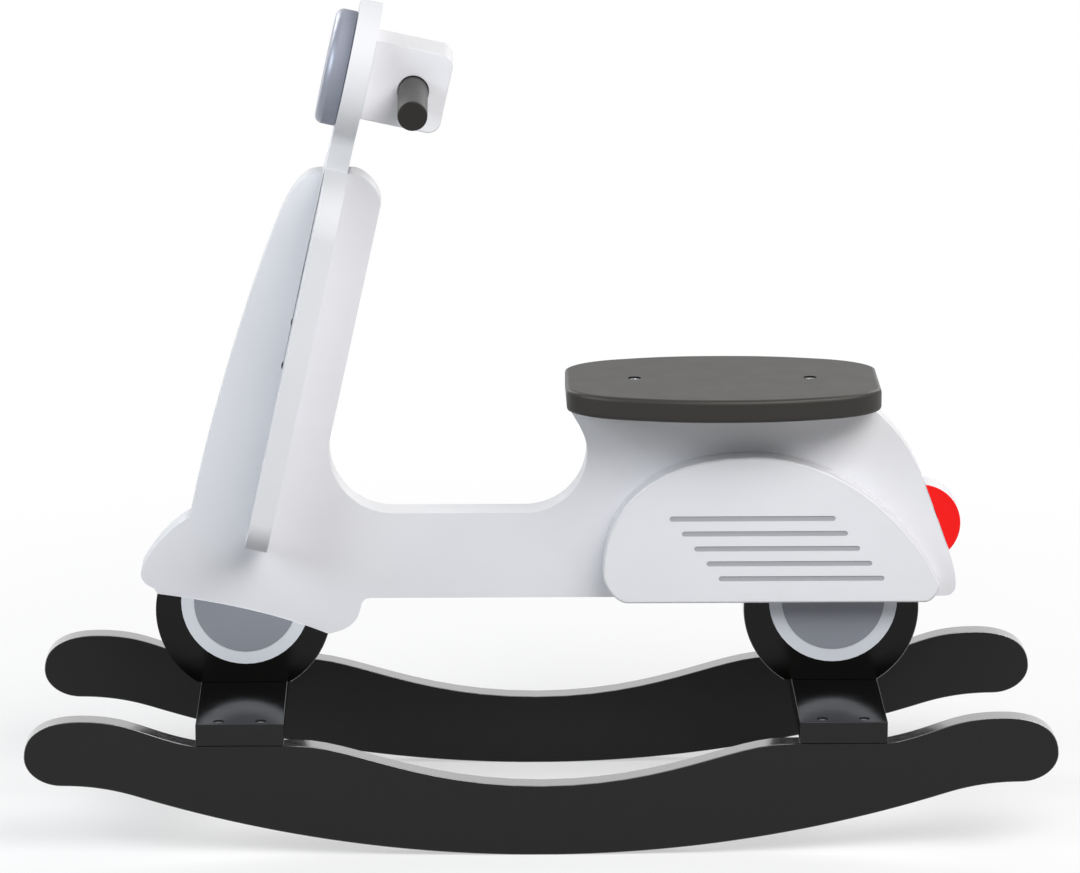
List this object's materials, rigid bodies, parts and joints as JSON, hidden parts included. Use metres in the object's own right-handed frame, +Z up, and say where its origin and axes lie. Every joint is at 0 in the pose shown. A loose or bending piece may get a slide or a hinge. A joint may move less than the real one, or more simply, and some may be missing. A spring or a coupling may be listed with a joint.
{
  "type": "rocking scooter",
  "caption": "Children's rocking toy shaped like a classic motor scooter, cut from flat painted boards and standing on two curved rockers, with a seat, grips and headlight.",
  "frame": {"origin": "on the floor, under the middle of the two rockers", "axes": "+X to the rear of the toy, along its length; +Y to the rider's right; +Z up"},
  "size_m": [0.79, 0.262, 0.6414],
  "materials": {
    "white_lacquer": "satin white lacquer on fibreboard",
    "black_lacquer": "satin black lacquer on fibreboard, with glossier edges",
    "charcoal_lacquer": "matt charcoal lacquer",
    "silver_lacquer": "satin silver-grey lacquer",
    "red_lacquer": "gloss red lacquer",
    "ring_white": "printed pale film",
    "hub_grey": "printed grey film",
    "screw_steel": "dark zinc-plated steel",
    "beech": "bare beech dowel"
  },
  "bodies": {
    "root": {"body_panel": "white_lacquer", "leg_shield": "white_lacquer", "side_cover_left": "white_lacquer", "side_cover_right": "white_lacquer", "handlebar_block": "white_lacquer", "handlebar": "charcoal_lacquer", "seat": "charcoal_lacquer", "headlight": "silver_lacquer", "tail_light": "red_lacquer", "front_wheel": "black_lacquer", "rear_wheel": "black_lacquer", "front_wheel_ring_left": "ring_white", "front_wheel_ring_right": "ring_white", "rear_wheel_ring_left": "ring_white", "rear_wheel_ring_right": "ring_white", "front_wheel_hub_left": "hub_grey", "front_wheel_hub_right": "hub_grey", "rear_wheel_hub_left": "hub_grey", "rear_wheel_hub_right": "hub_grey", "rocker_left": "black_lacquer", "rocker_right": "black_lacquer", "crossbar_front": "black_lacquer", "crossbar_rear": "black_lacquer", "crossbar_screw_front_left_1": "screw_steel", "crossbar_screw_front_left_2": "screw_steel", "crossbar_screw_front_right_1": "screw_steel", "crossbar_screw_front_right_2": "screw_steel", "crossbar_screw_rear_left_1": "screw_steel", "crossbar_screw_rear_left_2": "screw_steel", "crossbar_screw_rear_right_1": "screw_steel", "crossbar_screw_rear_right_2": "screw_steel", "front_wheel_screw_1": "screw_steel", "front_wheel_screw_2": "screw_steel", "rear_wheel_screw_1": "screw_steel", "rear_wheel_screw_2": "screw_steel", "seat_screw_1": "screw_steel", "seat_screw_2": "screw_steel", "block_screw_1": "screw_steel", "block_screw_2": "screw_steel", "handlebar_screw": "screw_steel", "front_wheel_dowel_1": "beech", "front_wheel_dowel_2": "beech", "rear_wheel_dowel_1": "beech", "rear_wheel_dowel_2": "beech", "headlight_dowel_1": "beech", "headlight_dowel_2": "beech", "cover_dowel_1": "beech", "cover_dowel_2": "beech", "cover_dowel_3": "beech", "tail_light_dowel": "beech"}
  },
  "joints": []
}
